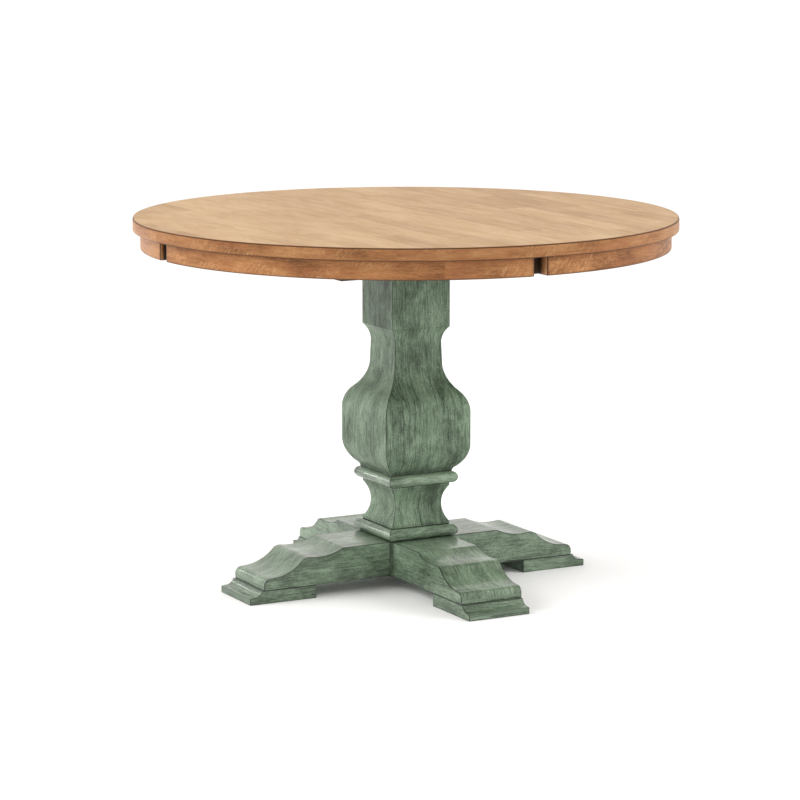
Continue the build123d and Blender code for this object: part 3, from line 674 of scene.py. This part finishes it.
def stave_top(finish):
    """The table's face: narrow staves end to end along X, under satin lacquer."""
    material, tree, shader = new_material("stave_face")
    place, line, _, _ = read_finish(tree, finish)
    split = add_node(tree, "SeparateXYZ", {0: place})
    row = calc(tree, "FLOOR", calc(tree, "DIVIDE", split.outputs["Y"], STAVE_WIDTH))
    row_lot = add_node(tree, "TexWhiteNoise", {"W": row}, noise_dimensions="1D").outputs["Value"]
    run = calc(tree, "ADD", calc(tree, "DIVIDE", split.outputs["X"], STAVE_LENGTH), row_lot)
    stave = add_node(tree, "CombineXYZ", {"X": calc(tree, "FLOOR", run), "Y": row}).outputs[0]
    lot = add_node(tree, "TexWhiteNoise", {"Vector": stave}, noise_dimensions="2D").outputs["Value"]
    sawn = add_node(tree, "CombineXYZ", {
        "X": calc(tree, "MULTIPLY_ADD", lot, 3.0, split.outputs["X"]),
        "Y": split.outputs["Y"], "Z": calc(tree, "MULTIPLY", lot, 9.0)}).outputs[0]
    broad = stretched_noise(tree, place, (4, 9, 1), detail=3, roughness=0.55)
    figure = stretched_noise(tree, sawn, (9, 48, 1), detail=4, roughness=0.6, distortion=0.6)
    fine = stretched_noise(tree, sawn, (24, 260, 1), detail=3, roughness=0.7)
    tone = lay_figure(tree, calc(tree, "MULTIPLY", lot, 0.24), (broad, 0.55), (figure, 0.3), (fine, 0.42))
    body = ramp(
        tree, remap(tree, tone, 0.53, 0.98),
        (0.0, finish.top_dark), (0.5, finish.top_mid), (1.0, finish.top_light))
    body = blend(tree, calc(tree, "MULTIPLY", line, 0.8), body, finish.wood_dark)
    tree.links.new(body, shader.inputs["Base Color"])
    tree.links.new(remap(tree, figure, 0.3, 0.7, 0.56, 0.46), shader.inputs["Roughness"])
    shader.inputs["Specular IOR Level"].default_value = SATIN_SPECULAR
    add_bump(tree, shader, calc(tree, "MULTIPLY_ADD", fine, 0.5, figure), 0.0001)
    return material


def plain_wood(name, dark, light):
    """Unfinished or dark-stained wood of the hidden structure; the near-black colours given it are partly
    painted shade.
    """
    material, tree, shader = new_material(name)
    place = add_node(tree, "TexCoord").outputs["Object"]
    figure = stretched_noise(tree, place, (14, 90, 90), detail=5, roughness=0.6)
    pores = stretched_noise(tree, place, (150, 900, 900), detail=2)
    tone = calc(tree, "MULTIPLY_ADD", pores, 0.3, calc(tree, "MULTIPLY", figure, 0.8))
    tree.links.new(
        ramp(tree, remap(tree, tone, 0.35, 0.8), (0.0, dark), (1.0, light)), shader.inputs["Base Color"])
    shader.inputs["Roughness"].default_value = 0.62
    shader.inputs["Specular IOR Level"].default_value = SOFT_SPECULAR
    add_bump(tree, shader, tone, 0.0002)
    return material


def bright_metal(name, dark, light, roughness):
    """Plated or turned metal with fine scratches and dull patches."""
    material, tree, shader = new_material(name)
    place = add_node(tree, "TexCoord").outputs["Object"]
    patches = stretched_noise(tree, place, (60, 60, 60), detail=4)
    scratches = stretched_noise(tree, place, (900, 900, 90), detail=2)
    tree.links.new(
        ramp(tree, remap(tree, patches, 0.3, 0.7), (0.0, dark), (1.0, light)), shader.inputs["Base Color"])
    shader.inputs["Metallic"].default_value = 1.0
    tree.links.new(
        remap(tree, scratches, 0.3, 0.7, roughness, roughness + 0.15), shader.inputs["Roughness"])
    return material


def dress_nodes(slot, material):
    """Give a material to every CAD node of one of the record's slots."""
    for entry in frame["record"]["subparts"]:
        if entry["material_slot"] == slot:
            node = frame["nodes"][entry["node"]]
            node.data.materials.clear()
            node.data.materials.append(material)


# ---- one operator for each piece or group of like pieces ----
class TABLE_OT_face(bpy.types.Operator):
    """Make the veneered face of the tabletop"""

    bl_idname = "table.make_face"
    bl_label = "Make tabletop face"

    def execute(self, context):
        finish = context.scene.table_finish
        bm = new_bmesh()
        edge = [(VENEER_HIGH.x, VENEER_LOW.z), (VENEER_HIGH.x, VENEER_HIGH.z)]
        verts, edges = draw_outline(bm, edge, lambda point: (point.x, 0, point.y))
        bmesh.ops.spin(
            bm, geom=verts + edges, cent=(0, 0, 0), axis=(0, 0, 1), angle=math.tau,
            steps=round(math.tau / SPIN_STEP), use_merge=True)
        mouths = [mouth for mouth in bm.edges if mouth.is_boundary]
        mark_ends(bm, bmesh.ops.holes_fill(bm, edges=mouths, sides=0)["faces"])
        round_arrises(bm, VENEER_EASING)
        lay_finish(bm, lambda normal, place, run: (Vector((place.x, place.y, 0)), BAND_WIDTH, 0.0))
        material = stave_top(finish)
        finish_piece(context, "tabletop_face", bm, material, "face_veneer")
        return {"FINISHED"}


class TABLE_OT_rim(bpy.types.Operator):
    """Make the segments of the tabletop's rim"""

    bl_idname = "table.make_rim"
    bl_label = "Make rim segments"

    def execute(self, context):
        finish = context.scene.table_finish
        material = stained_wood(finish, "rim_wood")
        for number in range(RIM_SEGMENTS):
            start = FIRST_RIM_JOINT + number * RIM_ARC
            stop = start + RIM_ARC
            bm = ring_block(CORE_HIGH.x, TOP_RADIUS, CORE_LOW.z, CORE_HIGH.z, start, stop)
            round_arrises(bm, finish.wood_easing, (start, stop))
            lay_finish(bm, bent_rule(start + RIM_ARC / 2, RING_STEP * number, RIM_TONES[number]))
            finish_piece(
                context, f"rim_{number + 1}", bm, material, f"rim_segment_{number + 1}")
        return {"FINISHED"}


class TABLE_OT_apron(bpy.types.Operator):
    """Make the sawn blocks of the apron"""

    bl_idname = "table.make_apron"
    bl_label = "Make apron blocks"

    def execute(self, context):
        finish = context.scene.table_finish
        material = stained_wood(finish, "apron_wood")
        gap = math.asin(APRON_GAP / 2 / APRON_RADIUS)
        for quarter in range(4):
            corner = quarter * QUARTER
            spans = [(corner + gap, corner + APRON_JOINT), (corner + APRON_JOINT, corner + QUARTER - gap)]
            for part, (start, stop) in enumerate(spans):
                number = 2 * quarter + part + 1
                bm = ring_block(
                    APRON_RADIUS - APRON_THICKNESS, APRON_RADIUS, APRON_LOW.z, APRON_HIGH.z, start, stop)
                joint, open_end = (stop, start) if part == 0 else (start, stop)
                round_arrises(bm, finish.wood_easing, (joint,))
                lay_finish(bm, bent_rule(
                    (start + stop) / 2, APRON_BOARD + RING_STEP * number, APRON_TONES[number - 1],
                    open_end, END_SHADE_FALLS[part]))
                finish_piece(
                    context, f"apron_{number}", bm, material, f"apron_block_{number}")
        return {"FINISHED"}


class TABLE_OT_structure(bpy.types.Operator):
    """Finish the hidden boards, the mounting plate and the metal fixings"""

    bl_idname = "table.finish_structure"
    bl_label = "Finish structure and fixings"

    def execute(self, context):
        materials = {
            # near-black stain that is partly painted shade, so the apron's gaps and the plate under the
            # top read as shadow
            "inner_wood": plain_wood("shaded_underside_stain", (0.026, 0.014, 0.007), (0.066, 0.036, 0.019)),
            "plate_wood": plain_wood("plate_stain_and_shade", (0.030, 0.016, 0.009), (0.085, 0.048, 0.028)),
            "zinc_steel": bright_metal("zinc_plate", (0.42, 0.42, 0.40), (0.66, 0.66, 0.64), 0.25),
            "insert_brass": bright_metal("turned_brass", (0.55, 0.38, 0.15), (0.78, 0.60, 0.30), 0.3),
        }
        for slot, material in materials.items():
            dress_nodes(slot, material)
        return {"FINISHED"}


class TABLE_OT_column(bpy.types.Operator):
    """Make the vase column, the two beads and the waist between them"""

    bl_idname = "table.make_column"
    bl_label = "Make column"

    def vase_outline(self):
        foot, shoulder, throat = (0.0706, VASE_LOW.z), (0.0730, 0.2425), (0.0539, 0.503)
        belly_low, belly_high = (VASE_HIGH.x, 0.294), (VASE_HIGH.x, 0.361)
        turn, neck, block = (0.0807, 0.4047), (0.0556, 0.456), (0.0668, BLOCK_BASE)
        return [
            foot, (foot[0], 0.238), shoulder,
            *arc_points(shoulder, (0.090, 0.262), belly_low),
            *straight_points(belly_low, belly_high),
            *arc_points(belly_high, (0.0943, 0.3838), turn),
            *arc_points(turn, (0.0646, 0.4265), neck),
            *straight_points(neck, throat),
            *arc_points(throat, (0.0567, 0.5202), block),
            *straight_points(block, (block[0], VASE_HIGH.z)),
        ]

    def bead_outline(self, low, high):
        radius = (high - low) / 2
        bottom, top = (BEAD_CORE_HALF, low), (BEAD_CORE_HALF, high)
        return [bottom, *arc_points(bottom, (BEAD_CORE_HALF + radius, low + radius), top)]

    def waist_outline(self):
        fillet, throat = 0.0055, 0.0543
        low, high = (WAIST_HIGH.x, WAIST_LOW.z + fillet), (WAIST_HIGH.x, WAIST_HIGH.z - fillet)
        bottom, top = (WAIST_HIGH.x, WAIST_LOW.z), (WAIST_HIGH.x, WAIST_HIGH.z)
        middle = (throat, (low[1] + high[1]) / 2)
        return [
            bottom, *straight_points(bottom, low),
            *arc_points(low, middle, high),
            *straight_points(high, top),
        ]

    def execute(self, context):
        finish = context.scene.table_finish
        brushed = green_glaze(finish, "brushed_green_glaze", *BRUSHED_COAT)
        burnished = green_glaze(finish, "burnished_green_glaze", *BURNISHED_COAT)
        outlines = {
            "vase_column": self.vase_outline(),
            "upper_bead": self.bead_outline(UPPER_BEAD_LOW.z, UPPER_BEAD_HIGH.z),
            "waist_block": self.waist_outline(),
            "lower_bead": self.bead_outline(LOWER_BEAD_LOW.z, LOWER_BEAD_HIGH.z),
        }
        for number, (node, outline) in enumerate(outlines.items()):
            bm = moulded_square(outline)
            round_arrises(bm, finish.easing)
            lay_finish(bm, upright_rule(COLUMN_STEP * number, crosswise="bead" in node))
            material = burnished if "bead" in node else brushed
            finish_piece(context, node + "_glazed", bm, material, node)
        return {"FINISHED"}


class TABLE_OT_feet(bpy.types.Operator):
    """Make the hub post, the four moulded feet and their pads"""

    bl_idname = "table.make_feet"
    bl_label = "Make feet"

    def leg_outline(self):
        top, low = LEG_HIGH.z, LEG_LOW.z
        flat_end, crest, fall = (0.180, top), (0.257, 0.0863), (0.274, 0.0820)
        toe, nose, tip = (0.338, 0.0513), (0.348, 0.0506), (LEG_HIGH.x, 0.036)
        return [
            *straight_points(tip, (LEG_HIGH.x, low), (LEG_LOW.x, low), (LEG_LOW.x, top), flat_end),
            *arc_points(flat_end, (0.214, 0.0872), crest),
            *arc_points(crest, (0.2668, 0.0856), fall),
            *arc_points(fall, (0.299, 0.0626), toe),
            *straight_points(toe, nose),
            *arc_points(nose, (0.3574, 0.046), tip),
        ]

    def pad_outline(self):
        top, low = PAD_HIGH.z, PAD_LOW.z
        start, end, lip = (0.366, top), (0.381, 0.015), (PAD_HIGH.x, 0.013)
        return [
            *straight_points(lip, (PAD_HIGH.x, low), (PAD_LOW.x, low), (PAD_LOW.x, top), start),
            *arc_points(start, (0.3716, 0.0189), end),
            (0.3915, 0.014), lip,
        ]

    def execute(self, context):
        finish = context.scene.table_finish
        material = green_glaze(finish, "polished_green_glaze", *POLISHED_COAT)
        hub_side = (HUB_HIGH.x, HUB_LOW.z), (HUB_HIGH.x, HUB_HIGH.z)
        hub = moulded_square([hub_side[0], *straight_points(*hub_side)])
        round_arrises(hub, finish.easing)
        lay_finish(hub, upright_rule(HUB_BOARD))
        finish_piece(context, "hub_post_glazed", hub, material, "hub_post")
        boards = {"leg": self.leg_outline(), "foot_pad": self.pad_outline()}
        for foot, turn in FOOT_TURNS.items():
            for number, (part, outline) in enumerate(boards.items()):
                bm = outline_board(outline, LEG_HIGH.y, turn)
                round_arrises(bm, finish.easing)
                board = FOOT_BOARD + FOOT_STEP * turn + PAD_STEP * number
                lay_finish(bm, lengthwise_rule(turn, board, LEG_HIGH.y, crosswise=part == "foot_pad"))
                finish_piece(
                    context, f"{part}_{foot}_glazed", bm, material, f"{part}_{foot}")
        return {"FINISHED"}


class TABLE_OT_studio(bpy.types.Operator):
    """Make the pale floor, the soft lights and the camera"""

    bl_idname = "table.make_studio"
    bl_label = "Make studio"

    def level_axes(self, studio):
        """Level directions from the table towards the camera, and to the camera's right."""
        azimuth = studio.camera_azimuth
        outwards = Vector((math.sin(azimuth), -math.cos(azimuth), 0))
        rightwards = Vector((math.cos(azimuth), math.sin(azimuth), 0))
        return outwards, rightwards

    def add_floor(self, context):
        material, _, shader = new_material("pale_floor")
        shader.inputs["Base Color"].default_value = FLOOR_COLOUR
        shader.inputs["Roughness"].default_value = 0.9
        bm = bmesh.new()
        bmesh.ops.create_circle(bm, cap_ends=True, radius=FLOOR_RADIUS, segments=64)
        mesh = bpy.data.meshes.new("floor")
        bm.to_mesh(mesh)
        bm.free()
        mesh.materials.append(material)
        floor = bpy.data.objects.new("floor", mesh)
        context.scene.collection.objects.link(floor)

    def add_light(self, context, name, steps, size, power):
        outwards, rightwards = self.level_axes(context.scene.table_studio)
        place = outwards * steps[0] + rightwards * steps[1] + Vector((0, 0, steps[2]))
        lamp = bpy.data.lights.new(name, "AREA")
        lamp.shape = "RECTANGLE"
        lamp.size, lamp.size_y = size
        lamp.energy = power
        light = bpy.data.objects.new(name, lamp)
        light.location = place
        light.rotation_euler = (LIT_POINT - place).to_track_quat("-Z", "Y").to_euler()
        context.scene.collection.objects.link(light)
        return light

    def add_camera(self, context, studio):
        outwards, rightwards = self.level_axes(studio)
        camera = bpy.data.objects.new("camera", bpy.data.cameras.new("camera"))
        camera.data.lens = studio.lens
        camera.data.clip_end = 200
        camera.location = outwards * studio.camera_distance - rightwards * studio.camera_side
        camera.location.z = studio.camera_height
        pitch = studio.camera_pitch
        forwards = -outwards * math.cos(pitch) - Vector((0, 0, math.sin(pitch)))
        camera.rotation_euler = forwards.to_track_quat("-Z", "Y").to_euler()
        context.scene.collection.objects.link(camera)
        context.scene.camera = camera

    def execute(self, context):
        studio = context.scene.table_studio
        self.add_floor(context)
        key = self.add_light(context, "key_light", KEY_PLACE, KEY_SIZE, studio.key_power)
        key.visible_glossy = False
        fill = self.add_light(context, "fill_light", FILL_PLACE, FILL_SIZE, studio.fill_power)
        fill.visible_glossy = False
        glint = self.add_light(context, "glint_light", GLINT_PLACE, GLINT_SIZE, studio.glint_power)
        glint.visible_camera = False
        world = bpy.data.worlds.new("surround")
        world.use_nodes = True
        background = world.node_tree.nodes["Background"]
        background.inputs["Color"].default_value = SURROUND_COLOUR
        background.inputs["Strength"].default_value = studio.sky_strength
        context.scene.world = world
        context.scene.view_settings.view_transform = "Standard"
        self.add_camera(context, studio)
        return {"FINISHED"}


class TABLE_PT_sidebar(bpy.types.Panel):
    """Sidebar panel that lists the table's operators and settings"""

    bl_idname = "TABLE_PT_sidebar"
    bl_label = "Pedestal table"
    bl_space_type = "VIEW_3D"
    bl_region_type = "UI"
    bl_category = "Pedestal table"

    def draw(self, context):
        layout = self.layout
        for operator in OPERATORS:
            layout.operator(operator.bl_idname)
        for settings in (context.scene.table_finish, context.scene.table_studio):
            for name in settings.__annotations__:
                layout.prop(settings, name)


OPERATORS = (
    TABLE_OT_face,
    TABLE_OT_rim,
    TABLE_OT_apron,
    TABLE_OT_structure,
    TABLE_OT_column,
    TABLE_OT_feet,
    TABLE_OT_studio,
)
CLASSES = (TableFinishSettings, TableStudioSettings, *OPERATORS, TABLE_PT_sidebar)


def register():
    """Register the classes and attach the settings to the scene."""
    for cls in CLASSES:
        bpy.utils.register_class(cls)
    bpy.types.Scene.table_finish = PointerProperty(type=TableFinishSettings)
    bpy.types.Scene.table_studio = PointerProperty(type=TableStudioSettings)


def unregister():
    """Take the settings and classes away again."""
    del bpy.types.Scene.table_studio
    del bpy.types.Scene.table_finish
    for cls in reversed(CLASSES):
        bpy.utils.unregister_class(cls)


def main():
    """Build every piece in order."""
    register()
    bpy.ops.table.make_face()
    bpy.ops.table.make_rim()
    bpy.ops.table.make_apron()
    bpy.ops.table.finish_structure()
    bpy.ops.table.make_column()
    bpy.ops.table.make_feet()
    bpy.ops.table.make_studio()


if __name__ == "__main__":
    main()
